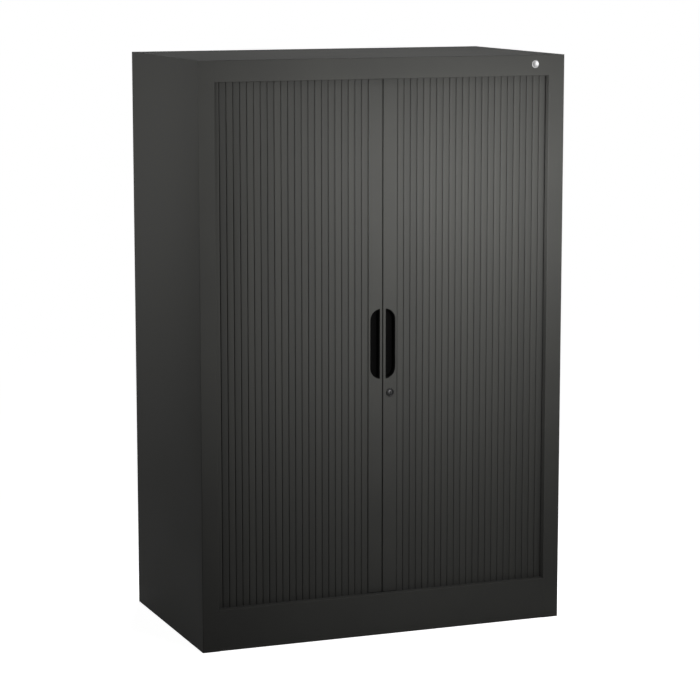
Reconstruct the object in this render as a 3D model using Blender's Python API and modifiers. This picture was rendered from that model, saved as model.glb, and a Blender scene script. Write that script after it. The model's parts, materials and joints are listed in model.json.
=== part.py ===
"""Tambour door cabinet: a sheet steel cupboard whose two slatted doors slide round into its sides.

Metres, +Z up, the front faces -Y. The origin is on the floor under the middle of the cabinet.
Run with: blender --background --python part.py
"""

import math

import bpy
import bmesh

# Overall size
WIDTH = 0.800
DEPTH = 0.450
HEIGHT = 1.200

# Sheet steel carcass
SHEET = 0.001
FOLD_RADIUS = 0.0016
FIT = 0.0003
STILE = 0.035
REVEAL = 0.0145
FASCIA = 0.043
PLINTH = 0.087
BACK_FLANGE = 0.018
PAN_FLANGE = 0.020
PLINTH_FOOT = 0.025
BACK_FOOT = 0.020

# Curtain and the tracks it runs in
SLAT_THICKNESS = 0.007
SLAT_NOMINAL_PITCH = 0.0145
SLAT_GROOVE = 0.0008
SLAT_CHAMFER = 0.0010
WEB_THICKNESS = 0.001
TOP_PLAY = 0.0015
CORNER_SLATS = 2
TRACK_HEIGHT = 0.013
TRACK_WALL = 0.0015
TRACK_CLEARANCE = 0.0007
TRACK_SIDE_GAP = 0.0055

# Lead posts and the cups set in them
CENTRE_GAP = 0.0016
POST_WIDTH = 0.031
POST_DEPTH = 0.0155
POST_PROUD = 0.0015
POST_WALL = 0.0014
POST_FOLD_RADIUS = 0.002
POST_RETURN = 0.006
POST_END_GAP = 0.001
OPEN_DOOR_GAP = 0.0052
GLIDE_INSERT = 0.012
CUP_WIDTH = 0.0215
CUP_HEIGHT = 0.146
CUP_BOTTOM = 0.540
CUP_INSET = 0.0055
CUP_RADIUS = 0.0235
CUP_RIM = 0.0012
CUP_RIM_PROUD = 0.0007
CUP_DEPTH = 0.012
CUP_WALL = 0.0013

# Cam lock in the right post, hung below its cup
LOCK_DROP = 0.0295
LOCK_RIM_RADIUS = 0.0085
LOCK_RIM_PROUD = 0.003
LOCK_BARREL_RADIUS = 0.0072
LOCK_BARREL_DEPTH = 0.0066
LOCK_PLUG_RADIUS = 0.0054
LOCK_PLUG_INSET = 0.0007
LOCK_PLUG_CLEARANCE = 0.0002
LOCK_NUT_FLATS = 0.010
LOCK_NUT_THICKNESS = 0.003
KEYWAY_LENGTH = 0.0062
KEYWAY_WIDTH = 0.0013
KEYWAY_DEPTH = 0.003
HOOK_THICKNESS = 0.002
HOOK_HALF_WIDTH = 0.004
HOOK_LENGTH = 0.0253
HOOK_BARB = 0.005
HOOK_BARB_WIDTH = 0.0038
HOOK_PIN_RADIUS = 0.0026
HOOK_CLEARANCE = 0.0012
SCREW_HEAD_RADIUS = 0.0042
SCREW_HEAD_THICKNESS = 0.002
STRIKE_THICKNESS = 0.0015
STRIKE_MARGIN = 0.006

# Inner lining and shelves
LINER_SETBACK = 0.008
LINER_LIP = 0.008
INNER_SETBACK = 0.005
SLOT_WIDTH = 0.018
SLOT_HEIGHT = 0.0032
SLOT_PITCH = 0.050
SLOT_FIRST = 0.060
SLOT_INSET = 0.055
SHELF_ROWS = (6, 13)
SHELF_SETBACK = 0.012
SHELF_BACK_GAP = 0.006
SHELF_SIDE_GAP = 0.0015
SHELF_HEIGHT = 0.025
SHELF_LIP = 0.010
CLIP_THICKNESS = 0.0012
CLIP_WIDTH = 0.016
CLIP_LEDGE = 0.012
CLIP_DROP = 0.014
CLIP_TONGUE = 0.005

# Blank badge pressed into the fascia, measured in from the side and down from the top
BADGE_RADIUS = 0.008
BADGE_EDGE = 0.0006
BADGE_DISH = 0.0009
BADGE_INSET = 0.0665
BADGE_DROP = 0.019
BADGE_SHOULDER = 0.002
BADGE_SHOULDER_THICKNESS = 0.001

# Drawing aids
OVERRUN = 0.002
WELD = 0.000002
ARC_STEPS = 8
ROUND_STEPS = 6
TURN_STEPS = 32
FOLD_STEPS = 2
PLACES = {"X": (math.pi / 2, 0, math.pi / 2), "Y": (math.pi / 2, 0, 0), "Z": (0, 0, 0)}

# A square corner that sits inside a rounded fold needs this share of the fold's inner radius
nest_share = 1 - math.cos(math.pi / 4)


def nest(fold_radius, thickness):
    return FIT + max(fold_radius - thickness, 0) * nest_share


# Places worked out from the sizes above
half_width = WIDTH / 2
front = -DEPTH / 2
back = DEPTH / 2
inner_x = half_width - SHEET - nest(FOLD_RADIUS, SHEET)
opening_x = half_width - STILE
reveal_y = front + REVEAL
back_panel_y = back - SHEET - nest(FOLD_RADIUS, SHEET)
inner_back_y = back_panel_y - SHEET - FIT
top_front_y = front + SHEET + nest(FOLD_RADIUS, SHEET)
fascia_z = HEIGHT - FASCIA
base_z = PLINTH - TRACK_HEIGHT - FIT
ceiling_z = fascia_z + TRACK_HEIGHT + FIT
floor_of_groove = PLINTH - TRACK_HEIGHT + TRACK_WALL
roof_of_groove = fascia_z + TRACK_HEIGHT - TRACK_WALL
curtain_low = floor_of_groove + FIT
curtain_high = roof_of_groove - TOP_PLAY

slat_front_y = reveal_y + FIT + TRACK_WALL + TRACK_CLEARANCE
web_y = slat_front_y + SLAT_THICKNESS
web_x = half_width - SHEET - TRACK_SIDE_GAP - TRACK_WALL - TRACK_CLEARANCE - SLAT_THICKNESS
post_inner_x = CENTRE_GAP / 2
post_outer_x = post_inner_x + POST_WIDTH
post_front_y = slat_front_y - POST_PROUD
post_back_y = post_front_y + POST_DEPTH
post_lining = POST_WALL + nest(POST_FOLD_RADIUS, POST_WALL)
curtain_x = post_outer_x + FIT

# The corner is turned by whole slats, so its radius is a fixed share of their pitch
corner_step = math.pi / 2 / CORNER_SLATS
radius_share = 1 / (2 * math.sin(corner_step / 2))
front_slats = round((web_x - curtain_x) / SLAT_NOMINAL_PITCH - radius_share)
pitch = (web_x - curtain_x) / (front_slats + radius_share)
corner_radius = pitch * radius_share
corner_x = web_x - corner_radius
corner_y = web_y + corner_radius
corner_sag = corner_radius * (1 - math.cos(corner_step / 2))
groove_outer = SLAT_THICKNESS + TRACK_CLEARANCE
groove_inner = corner_sag + TRACK_CLEARANCE
groove_end_y = inner_back_y - FIT - TRACK_WALL
side_slats = int((groove_end_y - corner_y) / pitch)
tail_slats = max(1, side_slats - front_slats)
travel = opening_x - OPEN_DOOR_GAP - post_outer_x


def start_scene():
    for obj in list(bpy.data.objects):
        bpy.data.objects.remove(obj, do_unlink=True)
    made = {}
    for name in ("tambour_door_cabinet", "cutters"):
        made[name] = bpy.data.collections.new(name)
        bpy.context.scene.collection.children.link(made[name])
    return made["tambour_door_cabinet"], made["cutters"]


PARTS, CUTTERS = start_scene()


def material(name, color, roughness, metallic=0.0):
    made = bpy.data.materials.new(name)
    made.use_nodes = True
    shader = made.node_tree.nodes["Principled BSDF"]
    shader.inputs["Base Color"].default_value = (*color, 1)
    shader.inputs["Roughness"].default_value = roughness
    shader.inputs["Metallic"].default_value = metallic
    return made


POWDER_COAT = material("graphite_powder_coat", (0.062, 0.062, 0.059), 0.5)
CURTAIN_PLASTIC = material("graphite_slat_plastic", (0.058, 0.058, 0.055), 0.45)
TRACK_PLASTIC = material("track_plastic", (0.02, 0.02, 0.02), 0.4)
CUP_PLASTIC = material("cup_plastic", (0.006, 0.006, 0.006), 0.35)
ZINC = material("zinc_plated_steel", (0.55, 0.55, 0.54), 0.35, 1.0)
LOCK_METAL = material("lock_metal", (0.1, 0.1, 0.1), 0.3, 1.0)
BADGE_METAL = material("badge_metal", (0.75, 0.75, 0.76), 0.3, 1.0)


def mesh_object(name, mesh, matter, collection=PARTS):
    obj = bpy.data.objects.new(name, mesh)
    collection.objects.link(obj)
    if matter:
        mesh.materials.append(matter)
    return obj


def prism(name, outline, start, end, axis="Z", matter=None):
    """A flat outline made thick along an axis: (x, y) along Z, (y, z) along X or (x, z) along Y."""
    curve = bpy.data.curves.new(name, "CURVE")
    curve.dimensions = "2D"
    curve.fill_mode = "BOTH"
    curve.extrude = (end - start) / 2
    spline = curve.splines.new("POLY")
    spline.points.add(len(outline) - 1)
    for point, (u, v) in zip(spline.points, outline):
        point.co = (u, v, 0, 1)
    spline.use_cyclic_u = True
    drawn = bpy.data.objects.new(name + "_outline", curve)
    PARTS.objects.link(drawn)
    drawn.rotation_euler = PLACES[axis]
    drawn.location["XYZ".index(axis)] = (start + end) / 2
    bpy.context.view_layer.update()
    mesh = bpy.data.meshes.new_from_object(drawn.evaluated_get(bpy.context.evaluated_depsgraph_get()))
    mesh.materials.clear()
    obj = mesh_object(name, mesh, matter)
    obj.matrix_world = drawn.matrix_world
    bpy.data.objects.remove(drawn)
    bpy.data.curves.remove(curve)
    shape = bmesh.new()
    shape.from_mesh(mesh)
    bmesh.ops.remove_doubles(shape, verts=shape.verts, dist=WELD)
    bmesh.ops.recalc_face_normals(shape, faces=shape.faces)
    shape.to_mesh(mesh)
    shape.free()
    return obj


def box(name, low, high, matter=None):
    mesh = bpy.data.meshes.new(name)
    shape = bmesh.new()
    bmesh.ops.create_cube(shape, size=1)
    bmesh.ops.scale(shape, vec=[b - a for a, b in zip(low, high)], verts=shape.verts)
    shape.to_mesh(mesh)
    shape.free()
    obj = mesh_object(name, mesh, matter)
    obj.location = [(a + b) / 2 for a, b in zip(low, high)]
    return obj


def folded_sheet(name, path, start, end, axis="Z", matter=POWDER_COAT, thickness=SHEET, radius=FOLD_RADIUS):
    """A strip along a path that gives the outside of its folds; the metal lies to the path's left."""
    mesh = bpy.data.meshes.new(name)
    shape = bmesh.new()
    rows = [[shape.verts.new((u, v, w)) for w in (start, end)] for u, v in path]
    for (a, b), (c, d) in zip(rows, rows[1:]):
        shape.faces.new((a, c, d, b))
    shape.to_mesh(mesh)
    shape.free()
    obj = mesh_object(name, mesh, matter)
    obj.rotation_euler = PLACES[axis]
    if axis == "Y":
        obj.location.y = start + end
    folds = obj.modifiers.new("folds", "BEVEL")
    folds.width = radius
    folds.segments = FOLD_STEPS
    folds.limit_method = "ANGLE"
    sheet = obj.modifiers.new("sheet", "SOLIDIFY")
    sheet.thickness = thickness
    sheet.offset = -1
    sheet.use_even_offset = True
    return obj


def turned(name, profile, centre, matter=None):
    """A round piece about an axis along Y: profile points are (radius, distance towards the front)."""
    mesh = bpy.data.meshes.new(name)
    shape = bmesh.new()
    verts = [shape.verts.new((radius, 0, height)) for radius, height in profile]
    for a, b in zip(verts, verts[1:]):
        shape.edges.new((a, b))
    if profile[0][0] > 0:
        shape.edges.new((verts[-1], verts[0]))
    shape.to_mesh(mesh)
    shape.free()
    obj = mesh_object(name, mesh, matter)
    obj.rotation_euler = PLACES["Y"]
    obj.location = centre
    screw = obj.modifiers.new("turn", "SCREW")
    screw.steps = TURN_STEPS
    screw.render_steps = TURN_STEPS
    screw.use_merge_vertices = True
    screw.merge_threshold = WELD
    screw.use_smooth_shade = True
    return obj


def combine(obj, other, operation="DIFFERENCE"):
    """Cut another shape from this one, or join it on; the other becomes a hidden helper."""
    if other.name not in CUTTERS.objects:
        PARTS.objects.unlink(other)
        CUTTERS.objects.link(other)
    other.hide_render = True
    other.display_type = "WIRE"
    change = obj.modifiers.new(other.name, "BOOLEAN")
    change.operation = operation
    change.object = other
    return obj


def pivot(name, place):
    empty = bpy.data.objects.new(name, None)
    PARTS.objects.link(empty)
    empty.location = place
    bpy.context.view_layer.update()
    return empty


def carry(empty, *pieces):
    for piece in pieces:
        piece.parent = empty
        piece.matrix_parent_inverse = empty.matrix_world.inverted()


def handed(points, side):
    """Mirror a plan drawn for the right-hand side, and keep its direction of travel."""
    placed = [(side * x, other) for x, other in points]
    return placed if side > 0 else placed[::-1]


def rounded(corners):
    """An outline whose corners, given as (u, v, radius), are rounded; a radius of 0 stays sharp."""
    outline = []
    for i, (u, v, radius) in enumerate(corners):
        if radius == 0:
            outline.append((u, v))
            continue
        before, after = corners[i - 1], corners[(i + 1) % len(corners)]
        a = math.atan2(before[1] - v, before[0] - u)
        b = math.atan2(after[1] - v, after[0] - u)
        turn = (b - a + math.pi) % (2 * math.pi) - math.pi
        reach = radius / math.tan(abs(turn) / 2)
        middle = a + turn / 2
        away = math.hypot(radius, reach)
        centre = (u + away * math.cos(middle), v + away * math.sin(middle))
        start = a - math.copysign(math.pi / 2, turn)
        sweep = -math.copysign(math.pi - abs(turn), turn)
        for step in range(ROUND_STEPS + 1):
            angle = start + sweep * step / ROUND_STEPS
            outline.append((centre[0] + radius * math.cos(angle), centre[1] + radius * math.sin(angle)))
    return outline


def side_name(side):
    return "right" if side > 0 else "left"


# Carcass
def side_panel(side):
    plan = handed(
        [
            (opening_x, reveal_y),
            (opening_x, front),
            (half_width, front),
            (half_width, back),
            (half_width - BACK_FLANGE, back),
        ],
        side,
    )
    panel = folded_sheet(side_name(side) + "_side_panel", plan, 0, HEIGHT)
    # The top panel passes over the stile's return, which stops short below it
    across = sorted((side * (opening_x - OVERRUN), side * (opening_x + SHEET + OVERRUN)))
    notch = box(
        side_name(side) + "_notch",
        (across[0], top_front_y - FIT, HEIGHT - SHEET - FIT),
        (across[1], reveal_y + OVERRUN, HEIGHT + OVERRUN),
    )
    return combine(panel, notch)


def back_panel():
    section = [
        (back_panel_y - BACK_FOOT, 0),
        (back_panel_y, 0),
        (back_panel_y, HEIGHT - SHEET - FIT),
    ]
    return folded_sheet("back_panel", section, -inner_x, inner_x, "X")


def top_panel():
    section = [
        (back_panel_y, HEIGHT),
        (front, HEIGHT),
        (front, fascia_z),
        (reveal_y, fascia_z),
        (reveal_y, ceiling_z - FIT),
    ]
    between_stiles = opening_x - FIT
    panel = folded_sheet("top_panel", section, -between_stiles, between_stiles, "X")
    wings = box(
        "top_wings",
        (-inner_x, top_front_y, HEIGHT - SHEET),
        (inner_x, back_panel_y, HEIGHT),
    )
    combine(panel, wings, "UNION")
    hole = turned(
        "badge_hole",
        [
            (0, SHEET + OVERRUN),
            (BADGE_RADIUS + FIT, SHEET + OVERRUN),
            (BADGE_RADIUS + FIT, -SHEET - OVERRUN),
            (0, -SHEET - OVERRUN),
        ],
        (half_width - BADGE_INSET, front, HEIGHT - BADGE_DROP),
    )
    return combine(panel, hole)


def front_plinth():
    section = [
        (reveal_y, base_z + FIT),
        (reveal_y, PLINTH),
        (front, PLINTH),
        (front, 0),
        (front + PLINTH_FOOT, 0),
    ]
    between_stiles = opening_x - FIT
    plinth = folded_sheet("front_plinth", section, -between_stiles, between_stiles, "X")
    # Each end is closed by a plate, set in a little, that reaches halfway into the sheet round it
    for side in (-1, 1):
        across = sorted((side * (between_stiles - FIT - SHEET), side * (between_stiles - FIT)))
        end = box(
            side_name(side) + "_plinth_end",
            (across[0], front + SHEET / 2, SHEET / 2),
            (across[1], reveal_y - SHEET / 2, PLINTH - SHEET / 2),
        )
        combine(plinth, end, "UNION")
    return plinth


def base_pan():
    section = [
        (inner_x, base_z - PAN_FLANGE),
        (inner_x, base_z),
        (-inner_x, base_z),
        (-inner_x, base_z - PAN_FLANGE),
    ]
    return folded_sheet("base_pan", section, reveal_y + FIT, inner_back_y, "Y")


def ceiling_pan():
    section = [
        (-inner_x, ceiling_z + PAN_FLANGE),
        (-inner_x, ceiling_z),
        (inner_x, ceiling_z),
        (inner_x, ceiling_z + PAN_FLANGE),
    ]
    return folded_sheet("ceiling_pan", section, reveal_y + FIT, inner_back_y, "Y")


def inner_floor():
    start = web_y + INNER_SETBACK
    section = [
        (inner_back_y, base_z + FIT),
        (inner_back_y, PLINTH),
        (start, PLINTH),
        (start, base_z + FIT),
    ]
    reach = opening_x + SHEET
    return folded_sheet("inner_floor", section, -reach, reach, "X")


def inner_ceiling():
    start = web_y + INNER_SETBACK
    section = [
        (start, ceiling_z - FIT),
        (start, fascia_z),
        (inner_back_y, fascia_z),
        (inner_back_y, ceiling_z - FIT),
    ]
    reach = opening_x + SHEET
    return folded_sheet("inner_ceiling", section, -reach, reach, "X")


# Rows of slots that the shelf clips hook into
liner_low = PLINTH + FIT
liner_high = fascia_z - FIT
liner_front_y = web_y + LINER_SETBACK
slot_rows = int((liner_high - liner_low - 2 * SLOT_FIRST) / SLOT_PITCH) + 1
slot_columns_y = (liner_front_y + SLOT_INSET, inner_back_y - SLOT_INSET)


def slot_z(row):
    return liner_low + SLOT_FIRST + row * SLOT_PITCH


def inner_liner(side):
    plan = handed(
        [
            (inner_x, inner_back_y),
            (opening_x, inner_back_y),
            (opening_x, liner_front_y),
            (opening_x + LINER_LIP, liner_front_y),
        ],
        side,
    )
    liner = folded_sheet(side_name(side) + "_inner_liner", plan, liner_low, liner_high)
    slot = box(
        side_name(side) + "_slots",
        (-SHEET - OVERRUN, -SLOT_WIDTH / 2, -SLOT_HEIGHT / 2),
        (SHEET + OVERRUN, SLOT_WIDTH / 2, SLOT_HEIGHT / 2),
    )
    slot.location = (side * opening_x, slot_columns_y[0], slot_z(0))
    for count, step in ((slot_rows, (0, 0, SLOT_PITCH)), (2, (0, slot_columns_y[1] - slot_columns_y[0], 0))):
        pattern = slot.modifiers.new("pattern", "ARRAY")
        pattern.count = count
        pattern.use_relative_offset = False
        pattern.use_constant_offset = True
        pattern.constant_offset_displace = step
    return combine(liner, slot)


def shelf_top(row):
    """Top of the shelf whose clips sit in this row of slots."""
    return slot_z(row) + CLIP_THICKNESS / 2 + CLIP_DROP + FIT + SHEET


def shelf(name, row):
    low_y = liner_front_y + SHELF_SETBACK
    high_y = inner_back_y - SHELF_BACK_GAP
    top = shelf_top(row)
    section = [
        (high_y, top - SHELF_HEIGHT),
        (high_y, top),
        (low_y, top),
        (low_y, top - SHELF_HEIGHT),
        (low_y + SHELF_LIP, top - SHELF_HEIGHT),
    ]
    reach = opening_x - SHELF_SIDE_GAP
    return folded_sheet(name, section, -reach, reach, "X")


def shelf_clip(name, row, side, middle_y):
    ledge = shelf_top(row) - SHEET - FIT
    wall = opening_x - FIT
    section = handed(
        [
            (wall + SHEET + CLIP_TONGUE, ledge - CLIP_DROP),
            (wall, ledge - CLIP_DROP),
            (wall, ledge),
            (wall - CLIP_LEDGE, ledge),
        ],
        side,
    )
    return folded_sheet(
        name,
        section,
        middle_y - CLIP_WIDTH / 2,
        middle_y + CLIP_WIDTH / 2,
        "Y",
        ZINC,
        CLIP_THICKNESS,
        CLIP_THICKNESS,
    )


def badge():
    profile = [
        (0, -BADGE_DISH),
        (BADGE_RADIUS - BADGE_EDGE, 0),
        (BADGE_RADIUS, 0),
        (BADGE_RADIUS, -SHEET - FIT),
        (BADGE_RADIUS + BADGE_SHOULDER, -SHEET - FIT),
        (BADGE_RADIUS + BADGE_SHOULDER, -SHEET - FIT - BADGE_SHOULDER_THICKNESS),
        (0, -SHEET - FIT - BADGE_SHOULDER_THICKNESS),
    ]
    place = (half_width - BADGE_INSET, front, HEIGHT - BADGE_DROP)
    return turned("badge_blank", profile, place, BADGE_METAL)


# Tracks
def track_line(offset, end_y):
    """The curtain's path on the right, moved outwards by an offset: along the front, round, and back."""
    line = [(FIT / 2, web_y - offset)]
    for step in range(ARC_STEPS + 1):
        angle = math.pi / 2 * step / ARC_STEPS
        reach = corner_radius + offset
        line.append((corner_x + reach * math.sin(angle), corner_y - reach * math.cos(angle)))
    line.append((web_x + offset, end_y))
    return line


def track_band(side, outer, inner, end_y):
    return handed(track_line(outer, end_y) + track_line(-inner, end_y)[::-1], side)


def track(side, level):
    low, high = (PLINTH - TRACK_HEIGHT, PLINTH) if level == "bottom" else (fascia_z, fascia_z + TRACK_HEIGHT)
    name = side_name(side) + "_" + level + "_track"
    rail = prism(
        name,
        track_band(side, groove_outer + TRACK_WALL, groove_inner + TRACK_WALL, groove_end_y + TRACK_WALL),
        low,
        high,
        "Z",
        TRACK_PLASTIC,
    )
    groove_low = floor_of_groove if level == "bottom" else low - OVERRUN
    groove_high = high + OVERRUN if level == "bottom" else roof_of_groove
    groove = track_band(side, groove_outer, groove_inner, groove_end_y)
    run_in = [(x - side * OVERRUN if abs(x) <= FIT else x, y) for x, y in groove]
    return combine(rail, prism(name + "_groove", run_in, groove_low, groove_high))


# Curtain
def slat_profile(count, length):
    """Front of a run of slats: (distance along the run, height above the back of the webs)."""
    points = []
    for slat in range(count):
        start = slat * length + SLAT_GROOVE / 2
        end = (slat + 1) * length - SLAT_GROOVE / 2
        points += [
            (start, WEB_THICKNESS),
            (start, SLAT_THICKNESS - SLAT_CHAMFER),
            (start + SLAT_CHAMFER, SLAT_THICKNESS),
            (end - SLAT_CHAMFER, SLAT_THICKNESS),
            (end, SLAT_THICKNESS - SLAT_CHAMFER),
            (end, WEB_THICKNESS),
        ]
    first = [(FIT / 2, 0), (FIT / 2, WEB_THICKNESS)]
    last = [(count * length - FIT / 2, WEB_THICKNESS), (count * length - FIT / 2, 0)]
    return first + points + last


def curtain(side, run, outline):
    name = side_name(side) + "_curtain_" + run
    return prism(name, handed(outline, side), curtain_low, curtain_high, "Z", CURTAIN_PLASTIC)


def front_curtain(side):
    outline = [(curtain_x + along, web_y - height) for along, height in slat_profile(front_slats, pitch)]
    return curtain(side, "front", outline)


def corner_curtain(side):
    outline = []
    for slat in range(CORNER_SLATS):
        start = corner_step * slat
        heading = start + corner_step / 2
        origin = (corner_x + corner_radius * math.sin(start), corner_y - corner_radius * math.cos(start))
        chord = slat_profile(1, pitch)
        first, last = slat == 0, slat == CORNER_SLATS - 1
        if not first:
            mitre = WEB_THICKNESS / math.cos(corner_step / 2)
            reach = corner_radius + mitre
            outline.append((corner_x + reach * math.sin(start), corner_y - reach * math.cos(start)))
            chord = chord[2:]
        if not last:
            chord = chord[:-2]
        for along, height in chord:
            outline.append(
                (
                    origin[0] + along * math.cos(heading) + height * math.sin(heading),
                    origin[1] + along * math.sin(heading) - height * math.cos(heading),
                )
            )
    for slat in range(CORNER_SLATS - 1, 0, -1):
        angle = corner_step * slat
        outline.append((corner_x + corner_radius * math.sin(angle), corner_y - corner_radius * math.cos(angle)))
    return curtain(side, "corner", outline)


def tail_curtain(side):
    outline = [(web_x + height, corner_y + along) for along, height in slat_profile(tail_slats, pitch)]
    return curtain(side, "tail", outline)


# Doors
post_low = PLINTH + POST_END_GAP
post_high = fascia_z - POST_END_GAP
cup_x = post_inner_x + CUP_INSET
cup_centre_x = cup_x + CUP_WIDTH - CUP_RADIUS
cup_rise = math.sqrt(CUP_RADIUS**2 - (CUP_RADIUS - CUP_WIDTH) ** 2)
lock_x = post_inner_x + POST_WIDTH / 2
lock_z = CUP_BOTTOM - LOCK_DROP
hook_reach = math.hypot(HOOK_LENGTH, HOOK_HALF_WIDTH + HOOK_BARB)
hook_front_y = post_front_y + LOCK_BARREL_DEPTH + FIT


def cup_outline(side, shrink):
    """The cup's D shape, drawn in by a distance all round: straight towards the middle of the cabinet."""
    radius = CUP_RADIUS - shrink
    swing = math.acos((cup_x + shrink - cup_centre_x) / radius)
    outline = []
    for centre_z, start in ((CUP_BOTTOM + cup_rise, -swing), (CUP_BOTTOM + CUP_HEIGHT - cup_rise, 0)):
        for step in range(ROUND_STEPS + 1):
            angle = start + swing * step / ROUND_STEPS
            outline.append((cup_centre_x + radius * math.cos(angle), centre_z + radius * math.sin(angle)))
    return handed(outline, side)


def hook_window(name, side):
    """The slot in a post's inner wall that the lock's hook swings through."""
    deep = post_inner_x + post_lining + STRIKE_THICKNESS + OVERRUN
    walls = sorted((side * (post_inner_x - OVERRUN), side * deep))
    return box(
        name,
        (walls[0], hook_front_y - HOOK_CLEARANCE, lock_z - hook_reach - HOOK_CLEARANCE),
        (
            walls[1],
            hook_front_y + HOOK_THICKNESS + HOOK_CLEARANCE,
            lock_z + HOOK_HALF_WIDTH + HOOK_CLEARANCE,
        ),
    )


def lead_post(side):
    name = side_name(side) + "_lead_post"
    plan = handed(
        [
            (post_inner_x + POST_RETURN, post_back_y),
            (post_inner_x, post_back_y),
            (post_inner_x, post_front_y),
            (post_outer_x, post_front_y),
            (post_outer_x, post_back_y),
            (post_outer_x - POST_RETURN, post_back_y),
        ],
        side,
    )
    post = folded_sheet(name, plan, post_low, post_high, "Z", POWDER_COAT, POST_WALL, POST_FOLD_RADIUS)
    front_wall = (post_front_y - OVERRUN, post_front_y + POST_WALL + OVERRUN)
    combine(post, prism(name + "_cup_hole", cup_outline(side, CUP_RIM), *front_wall, "Y"))
    combine(post, hook_window(name + "_hook_slot", side))
    if side > 0:
        hole = turned(
            "lock_hole",
            [
                (0, OVERRUN),
                (LOCK_BARREL_RADIUS + FIT, OVERRUN),
                (LOCK_BARREL_RADIUS + FIT, -POST_WALL - OVERRUN),
                (0, -POST_WALL - OVERRUN),
            ],
            (lock_x, post_front_y, lock_z),
        )
        combine(post, hole)
    return post


def handle_cup(side):
    name = side_name(side) + "_handle_cup"
    face = post_front_y - FIT
    rim = prism(name, cup_outline(side, 0), face - CUP_RIM_PROUD, face, "Y", CUP_PLASTIC)
    bowl_back = post_front_y + CUP_DEPTH
    outside = cup_outline(side, CUP_RIM + FIT)
    inside = cup_outline(side, CUP_RIM + FIT + CUP_WALL)
    combine(rim, prism(name + "_bowl", outside, face - CUP_RIM_PROUD / 2, bowl_back, "Y"), "UNION")
    return combine(rim, prism(name + "_hollow", inside, face - CUP_RIM_PROUD - OVERRUN, bowl_back - CUP_WALL, "Y"))


def post_glide(side, level):
    """A block pushed into the end of a post, with a tongue that runs in the track."""
    inside = (post_inner_x + post_lining, post_outer_x - post_lining)
    block = (post_front_y + post_lining, post_back_y - post_lining)
    tongue = (slat_front_y, web_y)
    if level == "bottom":
        tip, shoulder, top = curtain_low, post_low, post_low + GLIDE_INSERT
    else:
        tip, shoulder, top = curtain_high, post_high, post_high - GLIDE_INSERT
    section = [
        (tongue[0] + FIT, tip),
        (tongue[1], tip),
        (tongue[1], shoulder),
        (block[1], shoulder),
        (block[1], top),
        (block[0], top),
        (block[0], shoulder),
        (tongue[0] + FIT, shoulder),
    ]
    ends = sorted((side * inside[0], side * inside[1]))
    return prism(side_name(side) + "_" + level + "_glide", section, ends[0], ends[1], "X", TRACK_PLASTIC)


def lock_strike():
    """A plate inside the left post that the hook catches behind."""
    wall = -(post_inner_x + post_lining)
    low = lock_z - hook_reach - HOOK_CLEARANCE - STRIKE_MARGIN
    high = lock_z + HOOK_HALF_WIDTH + HOOK_CLEARANCE + STRIKE_MARGIN
    plate = box(
        "lock_strike",
        (wall - STRIKE_THICKNESS, post_front_y + post_lining, low),
        (wall, post_back_y - post_lining, high),
        ZINC,
    )
    return combine(plate, hook_window("strike_slot", -1))


# Lock
def lock_housing():
    bore = LOCK_PLUG_RADIUS + LOCK_PLUG_CLEARANCE
    profile = [
        (bore, FIT + LOCK_RIM_PROUD),
        (LOCK_RIM_RADIUS, FIT + LOCK_RIM_PROUD),
        (LOCK_RIM_RADIUS, FIT),
        (LOCK_BARREL_RADIUS, FIT),
        (LOCK_BARREL_RADIUS, -LOCK_BARREL_DEPTH),
        (bore, -LOCK_BARREL_DEPTH),
    ]
    return turned("lock_housing", profile, (lock_x, post_front_y, lock_z), LOCK_METAL)


def lock_nut():
    near = post_front_y + POST_WALL + FIT
    across_corners = LOCK_NUT_FLATS / math.cos(math.pi / 6)
    hexagon = []
    for corner in range(6):
        angle = math.pi / 3 * corner
        hexagon.append((lock_x + across_corners * math.cos(angle), lock_z + across_corners * math.sin(angle)))
    nut = prism("lock_nut", hexagon, near, near + LOCK_NUT_THICKNESS, "Y", ZINC)
    hole = turned(
        "nut_hole",
        [
            (0, OVERRUN),
            (LOCK_BARREL_RADIUS + FIT, OVERRUN),
            (LOCK_BARREL_RADIUS + FIT, -LOCK_NUT_THICKNESS - OVERRUN),
            (0, -LOCK_NUT_THICKNESS - OVERRUN),
        ],
        (lock_x, near, lock_z),
    )
    return combine(nut, hole)


def lock_plug():
    shoulder = -LOCK_BARREL_DEPTH
    pin_end = shoulder - FIT - HOOK_THICKNESS
    profile = [
        (0, FIT + LOCK_RIM_PROUD - LOCK_PLUG_INSET),
        (LOCK_PLUG_RADIUS, FIT + LOCK_RIM_PROUD - LOCK_PLUG_INSET),
        (LOCK_PLUG_RADIUS, shoulder),
        (HOOK_PIN_RADIUS, shoulder),
        (HOOK_PIN_RADIUS, pin_end),
        (0, pin_end),
    ]
    plug = turned("lock_plug", profile, (lock_x, post_front_y, lock_z), LOCK_METAL)
    keyway = box(
        "keyway",
        (lock_x - KEYWAY_WIDTH / 2, post_front_y - FIT - LOCK_RIM_PROUD - OVERRUN, lock_z - KEYWAY_LENGTH / 2),
        (
            lock_x + KEYWAY_WIDTH / 2,
            post_front_y - FIT - LOCK_RIM_PROUD + LOCK_PLUG_INSET + KEYWAY_DEPTH,
            lock_z + KEYWAY_LENGTH / 2,
        ),
    )
    return combine(plug, keyway)


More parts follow.
